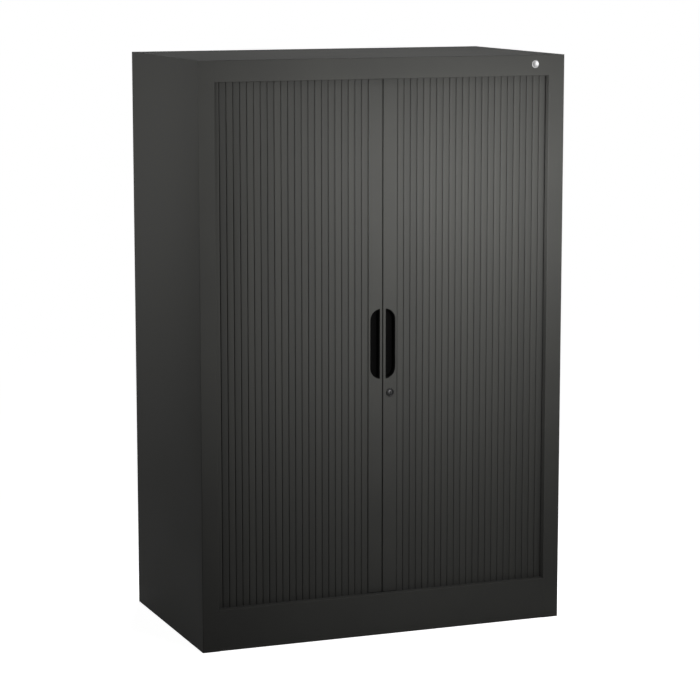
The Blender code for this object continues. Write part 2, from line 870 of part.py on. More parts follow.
def lock_hook():
    """Drawn unlocked, hanging down behind the front of the post; it swings up through the slots."""
    heel = HOOK_HALF_WIDTH
    shape = [
        (heel, heel, heel),
        (-heel, heel, heel),
        (-heel, -HOOK_LENGTH + HOOK_BARB_WIDTH, 0),
        (-heel - HOOK_BARB, -HOOK_LENGTH + HOOK_BARB_WIDTH, 0),
        (-heel - HOOK_BARB, -HOOK_LENGTH, 0),
        (heel, -HOOK_LENGTH, 0),
    ]
    outline = [(lock_x + u, lock_z + v) for u, v in rounded(shape)]
    hook = prism("lock_hook", outline, hook_front_y, hook_front_y + HOOK_THICKNESS, "Y", ZINC)
    hole = turned(
        "hook_hole",
        [
            (0, OVERRUN),
            (HOOK_PIN_RADIUS + FIT, OVERRUN),
            (HOOK_PIN_RADIUS + FIT, -HOOK_THICKNESS - OVERRUN),
            (0, -HOOK_THICKNESS - OVERRUN),
        ],
        (lock_x, hook_front_y, lock_z),
    )
    return combine(hook, hole)


def lock_screw():
    near = hook_front_y + HOOK_THICKNESS + FIT
    profile = [
        (0, 0),
        (SCREW_HEAD_RADIUS, 0),
        (SCREW_HEAD_RADIUS, -SCREW_HEAD_THICKNESS),
        (0, -SCREW_HEAD_THICKNESS),
    ]
    return turned("lock_hook_screw", profile, (lock_x, near, lock_z), ZINC)


def build():
    back_panel()
    top_panel()
    front_plinth()
    base_pan()
    ceiling_pan()
    inner_floor()
    inner_ceiling()
    badge()
    for name, row in zip(("lower_shelf", "upper_shelf"), SHELF_ROWS):
        shelf(name, row)
        for side in (-1, 1):
            for place, middle_y in zip(("front", "rear"), slot_columns_y):
                shelf_clip("_".join((name, side_name(side), place, "clip")), row, side, middle_y)
    for side in (-1, 1):
        side_panel(side)
        inner_liner(side)
        for level in ("bottom", "top"):
            track(side, level)
        front_curtain(side)
        corner_curtain(side)
        tail = pivot(side_name(side) + "_tail_origin", (side * web_x, corner_y, curtain_low))
        carry(tail, tail_curtain(side))
        door = pivot(side_name(side) + "_door_origin", (side * post_inner_x, post_front_y, post_low))
        carry(door, lead_post(side), handle_cup(side), post_glide(side, "bottom"), post_glide(side, "top"))
        if side < 0:
            carry(door, lock_strike())
        else:
            carry(door, lock_housing(), lock_nut())
    lock = pivot("lock_axis", (lock_x, hook_front_y, lock_z))
    carry(lock, lock_plug(), lock_hook(), lock_screw())
    millimetres = 1000
    print(f"Each curtain: {front_slats} slats in front, {CORNER_SLATS} in the corner, {tail_slats} behind it")
    print(f"Slat pitch {pitch * millimetres:.2f} mm, door travel {travel * millimetres:.1f} mm")
    print(f"Lock axis at x {lock_x:.4f} m, z {lock_z:.4f} m; the hook's front is at y {hook_front_y:.4f} m")

build()
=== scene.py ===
# %% [markdown]
# # A tambour door cabinet
#
# This is the steel cupboard of an office: 800 mm wide, 450 mm deep and 1200 mm high, with two curtains of
# narrow slats that meet in the middle and slide round the front corners into the sides.
#
# The solids come in as a fixed frame. They have the right size and they know how they move, but they are
# plain: every edge is a knife edge and every surface is one flat colour. This lesson gives them soft
# edges, builds the pieces whose shape shows again in finer form, and makes a finish for each material.

# %% Load the frame
import json
import math
import random

import bmesh
import bpy
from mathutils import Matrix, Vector


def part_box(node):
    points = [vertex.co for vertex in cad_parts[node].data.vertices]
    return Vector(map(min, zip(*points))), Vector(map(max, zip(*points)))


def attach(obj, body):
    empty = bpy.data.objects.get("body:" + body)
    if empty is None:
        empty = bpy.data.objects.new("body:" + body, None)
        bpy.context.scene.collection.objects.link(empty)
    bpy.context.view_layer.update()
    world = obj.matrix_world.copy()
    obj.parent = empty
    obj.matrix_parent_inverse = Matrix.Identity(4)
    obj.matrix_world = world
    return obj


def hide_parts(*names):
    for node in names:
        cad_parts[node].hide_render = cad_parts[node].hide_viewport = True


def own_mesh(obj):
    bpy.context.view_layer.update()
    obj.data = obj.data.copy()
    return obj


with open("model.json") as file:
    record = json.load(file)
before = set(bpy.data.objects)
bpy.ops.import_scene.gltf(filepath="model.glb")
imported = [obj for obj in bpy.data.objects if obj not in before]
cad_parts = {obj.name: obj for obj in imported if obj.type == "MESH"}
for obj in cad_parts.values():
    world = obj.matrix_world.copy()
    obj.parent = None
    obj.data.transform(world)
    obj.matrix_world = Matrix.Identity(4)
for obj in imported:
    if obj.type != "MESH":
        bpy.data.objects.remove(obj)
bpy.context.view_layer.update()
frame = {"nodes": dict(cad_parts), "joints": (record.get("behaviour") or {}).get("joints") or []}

# %% [markdown]
# ## Sizes
#
# A piece that is built again has to fit the one it stands for. Its place is therefore read from the
# frame, and only what the frame can't tell, such as how round a shoulder is, is typed here.

# %% Sizes in metres
MM = 0.001
SIDES = {"left": -1, "right": 1}
SLATS_IN_FRONT = 23
SLATS_IN_CORNER = 2
SLATS_BEHIND = 4


def span(node, axis):
    """The lowest and highest value of a node along x, y or z."""
    low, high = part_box(node)
    place = "xyz".index(axis)
    return low[place], high[place]


curtain_bottom, curtain_top = span("right_curtain_front", "z")
slat_face_y, web_back_y = span("right_curtain_front", "y")
slat_thickness = web_back_y - slat_face_y
run_gap = (span("right_curtain_corner", "x")[0] - span("right_curtain_front", "x")[1]) / 2
curtain_start = span("right_curtain_front", "x")[0] - run_gap
curtain_end = span("right_curtain_front", "x")[1] + run_gap
pitch = (curtain_end - curtain_start) / SLATS_IN_FRONT
tail_web_x = span("right_curtain_tail", "x")[0]
print(f"Slats are {pitch / MM:.2f} mm apart and {slat_thickness / MM:.1f} mm thick")

# %% [markdown]
# ## Meshes
#
# Nearly everything here is one of three shapes: a section drawn out along a line, a profile turned round
# an axis, or a stack of rings. Each gets one small helper. They all end in the same way: faces point
# outwards, curved faces are shaded smooth, and edges that turn by more than a set angle stay crisp.
#
# Blender's own extrude would also draw a section out, but it hands its faces back in another order each
# time. The walls are quickly made by hand, and then each run of this lesson gives the very same mesh.

# %% From a bmesh to an object
SMOOTH_BELOW = math.radians(38)
SAME_POINT = 0.001 * MM


def finish_mesh(name, built):
    """Turns a bmesh into an object with clean faces and the right mix of smooth and crisp edges."""
    bmesh.ops.remove_doubles(built, verts=built.verts, dist=SAME_POINT)
    bmesh.ops.recalc_face_normals(built, faces=built.faces)
    mesh = bpy.data.meshes.new(name)
    built.to_mesh(mesh)
    built.free()
    mesh.shade_smooth()
    mesh.set_sharp_from_angle(angle=SMOOTH_BELOW)
    obj = bpy.data.objects.new(name, mesh)
    bpy.context.scene.collection.objects.link(obj)
    return obj


def weigh_normals(obj):
    """Lets the large flat faces decide the shading, so that rounded edges don't bend it."""
    modifier = obj.modifiers.new("weighted_normals", "WEIGHTED_NORMAL")
    modifier.keep_sharp = True


# %% A section drawn out along z
SHARED_DIGITS = 7


def extruded(name, polygons, bottom, top):
    """A solid whose section is given as polygons. An edge that two of them share gets no wall."""
    built = bmesh.new()
    corners = {}
    walls = {}
    for polygon in polygons:
        ring = []
        for x, y in polygon:
            key = (round(x, SHARED_DIGITS), round(y, SHARED_DIGITS))
            if key not in corners:
                corners[key] = (built.verts.new((x, y, bottom)), built.verts.new((x, y, top)))
            ring.append(key)
        for level in (0, 1):
            built.faces.new([corners[key][level] for key in ring])
        for here, there in zip(ring, ring[1:] + ring[:1]):
            edge = (min(here, there), max(here, there))
            if edge in walls:
                del walls[edge]
            else:
                walls[edge] = (*corners[here], *reversed(corners[there]))
    for wall in walls.values():
        built.faces.new(wall)
    return finish_mesh(name, built)


# %% A stack of rings, each joined to the next
def lofted(name, rings, closed=False):
    """Rings with equal counts of points. Closed joins the last to the first; if not, both ends get caps."""
    built = bmesh.new()
    loops = [[built.verts.new(point) for point in ring] for ring in rings]
    pairs = list(zip(loops, loops[1:]))
    if closed:
        pairs.append((loops[-1], loops[0]))
    for lower, upper in pairs:
        for here in range(len(lower)):
            there = (here + 1) % len(lower)
            built.faces.new((lower[here], lower[there], upper[there], upper[here]))
    if not closed:
        built.faces.new(loops[0])
        built.faces.new(reversed(loops[-1]))
    return finish_mesh(name, built)


# %% A profile turned round an axis that points at the viewer
TURN_STEPS = 64


def turned(name, profile, centre, closed=False):
    """The profile is pairs of radius and distance in front of the centre, towards -Y."""
    x, y, z = centre
    rings = []
    for radius, ahead in profile:
        ring = []
        for step in range(TURN_STEPS):
            angle = 2 * math.pi * step / TURN_STEPS
            ring.append((x + radius * math.cos(angle), y - ahead, z + radius * math.sin(angle)))
        rings.append(ring)
    return lofted(name, rings, closed)


# %% [markdown]
# ## Writing shader maths as maths
#
# A finish is a formula: the roughness is a base value, plus a bit of noise, minus a bit where hands have
# rubbed it. In Blender that is a row of Math nodes, which is hard to read back from code. So one small
# class wraps the output of a node and lets Python's own signs add the Math nodes. A second one owns a
# node tree: its method `node` makes any other node from its type, its settings and what goes into its
# sockets. The settings come first, because some of them decide which sockets the node has.

# %% The two classes
class Wire:
    """The output of one node. Sums written with it become Math nodes."""

    def __init__(self, nodes, socket):
        self.nodes = nodes
        self.socket = socket

    def maths(self, operation, first, second):
        return self.nodes.node("ShaderNodeMath", {"operation": operation}, {0: first, 1: second})

    def __add__(self, other):
        return self.maths("ADD", self, other)

    def __radd__(self, other):
        return self.maths("ADD", other, self)

    def __sub__(self, other):
        return self.maths("SUBTRACT", self, other)

    def __rsub__(self, other):
        return self.maths("SUBTRACT", other, self)

    def __mul__(self, other):
        return self.maths("MULTIPLY", self, other)

    def __rmul__(self, other):
        return self.maths("MULTIPLY", other, self)


class Nodes:
    """A node tree, and the ways that this lesson adds to it."""

    def __init__(self, tree):
        self.tree = tree

    def feed(self, socket, value):
        if isinstance(value, Wire):
            self.tree.links.new(value.socket, socket)
        else:
            socket.default_value = value

    def node(self, kind, settings=None, sockets=None, output=0):
        made = self.tree.nodes.new(kind)
        for name, value in (settings or {}).items():
            if name == "stops":
                ramp = made.color_ramp.elements
                for stop, (place, shade) in zip((ramp[0], ramp[1]), value):
                    stop.position = place
                    stop.color = (shade, shade, shade, 1)
            else:
                setattr(made, name, value)
        for name, value in (sockets or {}).items():
            self.feed(made.inputs[name], value)
        return Wire(self, made.outputs[output])

    def place(self, stretch=(1, 1, 1)):
        """Where a point is on the object, in metres, with each axis stretched for a grain."""
        point = self.node("ShaderNodeTexCoord", output="Object")
        return self.node("ShaderNodeVectorMath", {"operation": "MULTIPLY"}, {0: point, 1: stretch})

    def noise(self, waves, detail=2.0, stretch=(1, 1, 1)):
        """Noise round 0.5, with so many waves in a metre."""
        sockets = {"Vector": self.place(stretch), "Scale": waves, "Detail": detail}
        return self.node("ShaderNodeTexNoise", {}, sockets, "Fac")

    def above(self, value, start, full):
        """0 below start, 1 above full, and a straight slope between them."""
        return self.node("ShaderNodeValToRGB", {"stops": ((start, 0.0), (full, 1.0))}, {0: value})

    def blend(self, share, first, second):
        """A colour between two, by share."""
        sockets = {"Factor": share, 6: first, 7: second}
        return self.node("ShaderNodeMix", {"data_type": "RGBA"}, sockets, 2)


# %% [markdown]
# Each finish is then a Nodes with a Principled shader at its end. What is the same all over the surface,
# such as how much it mirrors, is set on the shader itself. Only colour, roughness and the bump vary.
#
# No finish here is one flat grey: each runs between a darker and a lighter one. Where a tool or a mould has
# left marks, the gloss goes up and down with the same noise that the bump raises, because what scratches
# or etches a surface does both.

# %% A finish
ROUGHNESS_SPREAD = 0.05


def grey(value, warmth=0.0):
    """A grey as red, green, blue and alpha. Warmth takes away some of its blue."""
    return (value, value, value * (1 - warmth), 1)


class Finish(Nodes):
    """A material with a Principled shader."""

    def __init__(self, name, metallic=0.0, specular=0.5):
        self.material = bpy.data.materials.new(name)
        self.material.use_nodes = True
        super().__init__(self.material.node_tree)
        self.shader = self.tree.nodes["Principled BSDF"]
        self.set("Metallic", metallic)
        self.set("Specular IOR Level", specular)

    def set(self, socket, value):
        self.feed(self.shader.inputs[socket], value)

    def two_greys(self, share, middle, spread, warmths=(0.0, 0.0)):
        """Colours the surface between a darker and a lighter grey, by share."""
        darker = grey(middle * (1 - spread), warmths[0])
        lighter = grey(middle * (1 + spread), warmths[1])
        self.set("Base Color", self.blend(share, darker, lighter))

    def rough_round(self, middle, marks):
        """Lets the roughness go a little below and above its middle with marks that run from 0 to 1."""
        self.set("Roughness", middle - ROUGHNESS_SPREAD + 2 * ROUGHNESS_SPREAD * marks)

    def bump(self, height, depth):
        """Raises the surface by height, which runs from 0 to 1, times depth in metres."""
        sockets = {"Height": height, "Distance": depth}
        self.set("Normal", self.node("ShaderNodeBump", {}, sockets, "Normal"))


print("A finish has the methods", ", ".join(name for name in vars(Finish) if not name.startswith("_")))

# %% [markdown]
# ## Powder coat
#
# The steel is sprayed with dry powder and baked, which leaves a matt skin with the faint ripple that
# painters call orange peel, about a millimetre from crest to crest. It could be displaced geometry, but
# at this size a bump is enough. A slower noise makes the gloss drift a little from place to place, as a
# sprayed coat does, and fingers have polished the coat a little round the two pulls.

# %% The graphite powder coat
GRAPHITE = 0.047
GRAPHITE_WARMTHS = (0.05, 0.06)
MATT_SPECULAR = 0.02
COAT_SPREAD = 0.04
COAT_ROUGHNESS = 0.58
DRIFT_DULLS = 0.1
RUBBING_POLISHES = 0.12
RUB_FADES = 9
PEEL_WAVES = 750
RIPPLE_WAVES = 190
RUB_WAVES = 70
DRIFT_WAVES = 9
PEEL_SHARE = 0.6
PEEL_DEPTH = 0.06 * MM
cup_low, cup_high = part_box("right_handle_cup")


def rubbed_by_hands(coat):
    """Patches round the two pulls, 1 where the coat is rubbed most and 0 from a hand's width away."""
    rubbed = 0.0
    for side in SIDES.values():
        pull = (side * (cup_low.x + cup_high.x) / 2, cup_low.y, (cup_low.z + cup_high.z) / 2)
        sockets = {0: coat.place(), 1: pull}
        away = coat.node("ShaderNodeVectorMath", {"operation": "DISTANCE"}, sockets, "Value")
        near = coat.above(1 - away * RUB_FADES, 0.1, 0.6)
        rubbed = near * coat.noise(RUB_WAVES, detail=3) + rubbed
    return rubbed


def powder_coat():
    coat = Finish("powder_coat", specular=MATT_SPECULAR)
    peel = coat.noise(PEEL_WAVES, detail=3)
    ripple = coat.noise(RIPPLE_WAVES)
    drift = coat.noise(DRIFT_WAVES, detail=4)
    rubbed = rubbed_by_hands(coat)
    coat.set("Roughness", COAT_ROUGHNESS + DRIFT_DULLS * drift - RUBBING_POLISHES * rubbed)
    coat.two_greys(coat.above(drift, 0.3, 0.7), GRAPHITE, COAT_SPREAD, GRAPHITE_WARMTHS)
    coat.bump(PEEL_SHARE * peel + (1 - PEEL_SHARE) * ripple, PEEL_DEPTH)
    return coat


POWDER_COAT = powder_coat()
print("Powder coat has", len(POWDER_COAT.tree.nodes), "nodes")

# %% [markdown]
# ## Slat plastic
#
# The curtain is extruded in one length and cut up, so its grain runs up the slats: long thin streaks
# where the die has dragged. Noise gives both grains, with z stretched so far that a speck becomes a
# streak. Each slat also has a tone of its own, up to five per cent darker or lighter. That number is
# stored in the mesh when the slat is made, and the finish reads it back with an Attribute node.

# %% The graphite slat plastic
SLAT_SPREAD = 0.05
SLAT_ROUGHNESS = 0.5
STREAKS_DULL = 0.12
STREAK_WAVES = 900
STREAK_STRETCH = (1, 1, 0.004)
GRAIN_WAVES = 1400
GRAIN_STRETCH = (1, 1, 0.25)
GRAIN_DEPTH = 0.03 * MM
TONE = "slat_tone"


def slat_plastic():
    plastic = Finish("slat_plastic", specular=MATT_SPECULAR)
    streaks = plastic.noise(STREAK_WAVES, stretch=STREAK_STRETCH)
    grain = plastic.noise(GRAIN_WAVES, stretch=GRAIN_STRETCH)
    tone = plastic.node("ShaderNodeAttribute", {"attribute_name": TONE}, {}, "Fac")
    plastic.two_greys(tone, GRAPHITE, SLAT_SPREAD, GRAPHITE_WARMTHS)
    plastic.set("Roughness", SLAT_ROUGHNESS + STREAKS_DULL * streaks)
    plastic.bump(0.5 * streaks + 0.5 * grain, GRAIN_DEPTH)
    return plastic


SLAT_PLASTIC = slat_plastic()
print("Slat plastic has", len(SLAT_PLASTIC.tree.nodes), "nodes")

# %% [markdown]
# ## The small plastics and the metals
#
# Tracks and glides are moulded in a harder black plastic with a slight shine. The pulls came from an
# etched mould: they are the blackest thing on the cabinet, and matt. Their near-black is black plastic and
# painted shade of the bowl together, which makes the bowl look deep. Zinc plating shows crystals of a few
# millimetres, each with a gloss of its own, which is what Voronoi cells are good for. The lock and the
# badge keep the fine marks of the tool that turned or brushed them, and a brush leaves its marks in one
# direction, so that noise is stretched.

# %% Track and pull plastics
CLOUD_WAVES = 35
CLOUD_SPREAD = 0.15


def moulded(name, shade, roughness, specular, waves, depth):
    plastic = Finish(name, specular=specular)
    etch = plastic.noise(waves, detail=3)
    plastic.two_greys(plastic.noise(CLOUD_WAVES), shade, CLOUD_SPREAD)
    plastic.rough_round(roughness, etch)
    plastic.bump(etch, depth)
    return plastic


TRACK_PLASTIC = moulded(
    "rail_plastic", shade=0.02, roughness=0.45, specular=0.2, waves=600, depth=0.02 * MM
)
# The pulls' near-black is black plastic and painted shade of the bowl together.
CUP_PLASTIC_AND_PAINTED_SHADE = moulded(
    "pull_plastic_and_painted_shade", shade=0.0015, roughness=0.5, specular=0.01, waves=1600, depth=0.03 * MM
)
print("Moulded:", TRACK_PLASTIC.material.name, "and", CUP_PLASTIC_AND_PAINTED_SHADE.material.name)

# %% Zinc plate, lock metal and badge metal
CRYSTAL_WAVES = 260.0
CRYSTALS_DULL = 0.12
ZINC_ROUGHNESS = 0.3
ZINC_CLOUD_WAVES = 60
ZINC_GRAIN_WAVES = 900
DULL_ZINC = grey(0.48, -0.01)
BRIGHT_ZINC = grey(0.62, 0.01)
TOOL_WAVES = 1500
TOOL_SPREAD = 0.06
MARK_DEPTH = 0.01 * MM
BRUSHED_ALONG_X = (0.05, 1, 1)


def zinc_plate():
    zinc = Finish("zinc_plate", metallic=1.0)
    sockets = {"Vector": zinc.place(), "Scale": CRYSTAL_WAVES}
    crystals = zinc.node("ShaderNodeTexVoronoi", {}, sockets, "Color")
    cloud = zinc.noise(ZINC_CLOUD_WAVES, detail=4)
    zinc.set("Base Color", zinc.blend(cloud, DULL_ZINC, BRIGHT_ZINC))
    # A Math node takes the grey of each cell's random colour, and one number a cell is what is wanted here.
    zinc.set("Roughness", ZINC_ROUGHNESS + CRYSTALS_DULL * crystals)
    zinc.bump(zinc.noise(ZINC_GRAIN_WAVES), MARK_DEPTH)
    return zinc


def tooled(name, shade, roughness, stretch=(1, 1, 1)):
    metal = Finish(name, metallic=1.0)
    marks = metal.noise(TOOL_WAVES, detail=3, stretch=stretch)
    metal.two_greys(marks, shade, TOOL_SPREAD)
    metal.rough_round(roughness, marks)
    metal.bump(marks, MARK_DEPTH)
    return metal


ZINC = zinc_plate()
# The housing's near-black is black plating and painted shade; the plug's lighter grey is a painted glint.
LOCK_METAL_AND_PAINTED_SHADE = tooled("turned_lock_metal_and_painted_shade", shade=0.02, roughness=0.35)
PLUG_METAL_PAINTED_GLINT = tooled("plug_metal_painted_glint", shade=0.038, roughness=0.36)
BADGE_METAL = tooled("brushed_badge_metal", shade=0.22, roughness=0.35, stretch=BRUSHED_ALONG_X)
FINISHES = {
    "graphite_powder_coat": POWDER_COAT,
    "graphite_slat_plastic": SLAT_PLASTIC,
    "track_plastic": TRACK_PLASTIC,
    "cup_plastic": CUP_PLASTIC_AND_PAINTED_SHADE,
    "zinc_plated_steel": ZINC,
    "lock_metal": LOCK_METAL_AND_PAINTED_SHADE,
    "badge_metal": BADGE_METAL,
}
print("Finishes:", ", ".join(FINISHES))

# %% [markdown]
# ## Hanging a new piece on the frame
#
# A piece that is built again wears a finish, moves with the part it belongs to, and stands in for the
# plain solid, which stays behind unseen. One helper does all of it, so that no piece is left behind when
# a door slides.

# %% One helper for all of it
def fit(piece, slot, body, *nodes):
    """Gives a piece its finish, lets it ride on a body, and hides the nodes that it stands for."""
    piece.data.materials.clear()
    piece.data.materials.append(FINISHES[slot].material)
    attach(piece, body)
    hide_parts(*nodes)
    return piece


# %% [markdown]
# ## The curtains
#
# A slat is a flat bar with rounded shoulders and a barely crowned face, and thin webs at its back hinge
# it to its neighbours. Seen from the front, what shows is the shadow line between two shoulders, so the
# shoulders are what the section is drawn for: four short steps each, and the crown in six.
#
# The section is cut into polygons, one for each slat and one for each half of a web, because a single
# outline round twenty-three slats would be a face with hundreds of corners.

# %% The section of one slat
GROOVE = 0.6 * MM
WEB = 1.0 * MM
SHOULDER = 1.7 * MM
CROWN = 0.3 * MM
SHOULDER_STEPS = 4
CROWN_STEPS = 6


def slat_polygons():
    """The body of a slat and its two half webs. A point is a distance along the curtain and a height."""
    left, right = GROOVE / 2, pitch - GROOVE / 2
    edge = slat_thickness - CROWN
    half_face = (right - left) / 2 - SHOULDER
    shoulder = []
    for step in range(SHOULDER_STEPS + 1):
        angle = math.pi / 2 * step / SHOULDER_STEPS
        shoulder.append((SHOULDER * (1 - math.cos(angle)), edge - SHOULDER * (1 - math.sin(angle))))
    face = [(right - inwards, height) for inwards, height in shoulder]
    for step in range(1, CROWN_STEPS):
        across = 1 - 2 * step / CROWN_STEPS
        face.append((pitch / 2 + half_face * across, edge + CROWN * (1 - across * across)))
    face += [(left + inwards, height) for inwards, height in reversed(shoulder)]
    body = [(left, 0), (right, 0), (right, WEB), *face, (left, WEB)]
    near_web = [(0, 0), (left, 0), (left, WEB), (0, WEB)]
    far_web = [(right, 0), (pitch, 0), (pitch, WEB), (right, WEB)]
    return [body, near_web, far_web]


print("One slat has", len(slat_polygons()[0]), "corners")

# %% [markdown]
# Across the front and inside the side panel the slats follow a straight line. In the corner they turn a
# quarter circle, each slat a straight chord and each hinge on the arc, where the web bends. So each slat
# is placed by the point where it starts and its heading, and the ends of its webs by the heading of the
# hinge itself.

# %% The three runs of a curtain
corner_step = math.pi / 2 / SLATS_IN_CORNER
corner_radius = pitch / (2 * math.sin(corner_step / 2))
corner_x = tail_web_x - corner_radius
corner_y = web_back_y + corner_radius


def offset(start, along, height, heading):
    """The point that lies along a heading from the start, and height outwards from it."""
    return (
        start[0] + along * math.cos(heading) + height * math.sin(heading),
        start[1] + along * math.sin(heading) - height * math.cos(heading),
    )


def arc_point(angle):
    return (corner_x + corner_radius * math.sin(angle), corner_y - corner_radius * math.cos(angle))


def hinges(run):
    """The point and the heading of each hinge of a run, from the middle of the cabinet to its back."""
    if run == "front":
        counts = range(SLATS_IN_FRONT + 1)
        return [((curtain_start + pitch * count, web_back_y), 0.0) for count in counts]
    if run == "corner":
        angles = [corner_step * count for count in range(SLATS_IN_CORNER + 1)]
        return [(arc_point(angle), angle) for angle in angles]
    counts = range(SLATS_BEHIND + 1)
    return [((tail_web_x, corner_y + pitch * count), math.pi / 2) for count in counts]


def run_polygons(run, side):
    """Every polygon of a run, in place. The first and last webs stop a little short of the next run."""
    places = hinges(run)
    last = len(places) - 2
    polygons = []
    for count, ((start, near), (end, far)) in enumerate(zip(places, places[1:])):
        middle = (near + far) / 2
        for polygon in slat_polygons():
            placed = []
            for along, height in polygon:
                if along == 0:
                    inset = run_gap if count == 0 else 0
                    point = offset(start, inset, height, near)
                elif along == pitch:
                    inset = run_gap if count == last else 0
                    point = offset(end, -inset, height, far)
                else:
                    point = offset(start, along, height, middle)
                placed.append((side * point[0], point[1]))
            polygons.append(placed)
    return polygons


print("The corner turns on a radius of", round(corner_radius / MM, 1), "mm")

# %% [markdown]
# The real slats go round the corner one after another as a door opens. Here the run across the front
# keeps its length and stays with the cabinet, with a mesh of its own. The tail rides back along the side
# by as much as the post moves.

# %% Build both curtains
random.seed(7)


def store_tone(piece, run, side):
    """Gives each slat a tone between 0 and 1, stored on its faces."""
    points = [Vector(point) for point, heading in hinges(run)]
    tones = [random.random() for _ in points]
    middles = [(start + end) / 2 for start, end in zip(points, points[1:])]
    layer = piece.data.attributes.new(TONE, "FLOAT", "FACE")
    for face in piece.data.polygons:
        centre = Vector((side * face.center.x, face.center.y))
        distances = [(middle - centre).length for middle in middles]
        layer.data[face.index].value = tones[distances.index(min(distances))]


def curtain_run(name, run):
    side = SIDES[name]
    body = f"{name}_tail" if run == "tail" else "cabinet"
    polygons = run_polygons(run, side)
    piece = extruded(f"{name}_slats_{run}", polygons, curtain_bottom, curtain_top)
    store_tone(piece, run, side)
    return fit(piece, "graphite_slat_plastic", body, f"{name}_curtain_{run}")


travel = {joint["name"]: joint["range_m"][1] for joint in frame["joints"] if "range_m" in joint}
front_length = curtain_end - curtain_start - run_gap
for name, side in SIDES.items():
    for run in ("front", "corner", "tail"):
        piece = curtain_run(name, run)
        weigh_normals(piece)
        if run == "front":
            joint = f"{name}_door_slide"
            jamb = (side * curtain_end, web_back_y, 0)
            1 - travel[joint] / front_length
            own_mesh(piece)
        print(piece.name, "has", len(piece.data.polygons), "faces")

# %% [markdown]
# ## The pulls
#
# Each pull is a moulded cup pressed into its post: a letter D with the straight side towards the middle,
# a thin rounded rim that laps over the edge of the hole, and a bowl just deep enough for fingertips.
# Cutting the bowl out of a block would leave the rim to be rounded afterwards. Here the D drawn in by a
# growing distance gives every ring of the cup, so the whole cup is one loft, from the floor of the bowl
# up the inside, over the rim and down the outside.

# %% Rings of a D
CUP_OUTER_RADIUS = 23.5 * MM
CUP_INNER_RADIUS = 1.2 * MM
ARC_POINTS = 13


def d_ring(side, drawn_in, y):
    """The outline of the cup, drawn in all round: two arcs of the outer radius and two small ones."""
    low, high = cup_low, cup_high
    centre_x = high.x - CUP_OUTER_RADIUS
    reach = math.sqrt(CUP_OUTER_RADIUS ** 2 - (low.x - centre_x) ** 2)
    inner = max(CUP_INNER_RADIUS - drawn_in, CUP_INNER_RADIUS / 2)
    outer = CUP_OUTER_RADIUS - drawn_in
    small_x = low.x + drawn_in + inner
    turn = math.acos((small_x - centre_x) / (outer - inner))
    small_reach = reach - (outer - inner) * math.sin(turn)
    arcs = (
        (small_x, low.z + small_reach, inner, math.pi, 2 * math.pi - turn),
        (centre_x, low.z + reach, outer, -turn, 0.0),
        (centre_x, high.z - reach, outer, 0.0, turn),
        (small_x, high.z - small_reach, inner, turn, math.pi),
    )
    ring = []
    for x, z, radius, start, end in arcs:
        for point in range(ARC_POINTS):
            angle = start + (end - start) * point / (ARC_POINTS - 1)
            ring.append((side * (x + radius * math.cos(angle)), y, z + radius * math.sin(angle)))
    return ring


print("A ring of the cup has", 4 * ARC_POINTS, "points")

# %% Build both pulls
cup_front, cup_back = cup_low.y, cup_high.y
cup_floor = cup_back - 1.3 * MM
rim_back = cup_front + 0.7 * MM
CUP_SECTION = (
    (6.0 * MM, cup_floor),
    (4.2 * MM, cup_floor - 0.1 * MM),
    (3.3 * MM, cup_floor - 0.6 * MM),
    (2.9 * MM, cup_floor - 1.5 * MM),
    (2.8 * MM, cup_front + 1.0 * MM),
    (2.5 * MM, cup_front + 0.35 * MM),
    (2.0 * MM, cup_front + 0.08 * MM),
    (1.4 * MM, cup_front),
    (0.7 * MM, cup_front + 0.06 * MM),
    (0.2 * MM, cup_front + 0.25 * MM),
    (0.0 * MM, rim_back - 0.1 * MM),
    (0.1 * MM, rim_back),
    (1.5 * MM, rim_back),
    (1.5 * MM, cup_back - 1.0 * MM),
    (2.5 * MM, cup_back),
)
for name, side in SIDES.items():
    rings = [d_ring(side, drawn_in, y) for drawn_in, y in CUP_SECTION]
    cup = fit(lofted(f"{name}_pull", rings), "cup_plastic", f"{name}_door", f"{name}_handle_cup")
    print(cup.name, "has", len(cup.data.polygons), "faces")

# %% [markdown]
# ## The lock
#
# The housing is a short tube with a face ring, held from behind by a nut. The plug turns in it with its
# key slot, and carries the hook. Both are turned parts, so both are profiles swept round the lock's axis.
# The key slot is then cut with a Boolean, the quickest way to make a hole with straight sides in a round
# face. The lock's one metal comes in two copies: a near-black one for the housing, which is black plating
# and painted shade together, and a lighter one for the plug's face, which is a painted glint.

# %% Housing
lock_x = sum(span("lock_housing", "x")) / 2
lock_z = sum(span("lock_housing", "z")) / 2
post_face_y = span("right_lead_post", "y")[0]
lock_centre = (lock_x, post_face_y, lock_z)
ring_height = post_face_y - span("lock_housing", "y")[0]
barrel_end = post_face_y - span("lock_housing", "y")[1]
HOUSING_PROFILE = (
    (5.6 * MM, barrel_end),
    (5.6 * MM, ring_height - 0.9 * MM),
    (5.75 * MM, ring_height - 0.5 * MM),
    (6.3 * MM, ring_height - 0.1 * MM),
    (6.9 * MM, ring_height),
    (7.6 * MM, ring_height - 0.15 * MM),
    (8.25 * MM, ring_height - 0.7 * MM),
    (8.5 * MM, ring_height - 1.4 * MM),
    (8.5 * MM, 0.3 * MM),
    (7.2 * MM, 0.3 * MM),
    (7.2 * MM, barrel_end),
)
housing = turned("lock_face_ring", HOUSING_PROFILE, lock_centre, closed=True)
fit(housing, "lock_metal", "right_door", "lock_housing")
widest = max(radius for radius, ahead in HOUSING_PROFILE)
print(housing.name, "is", round(2 * widest / MM, 1), "mm across")

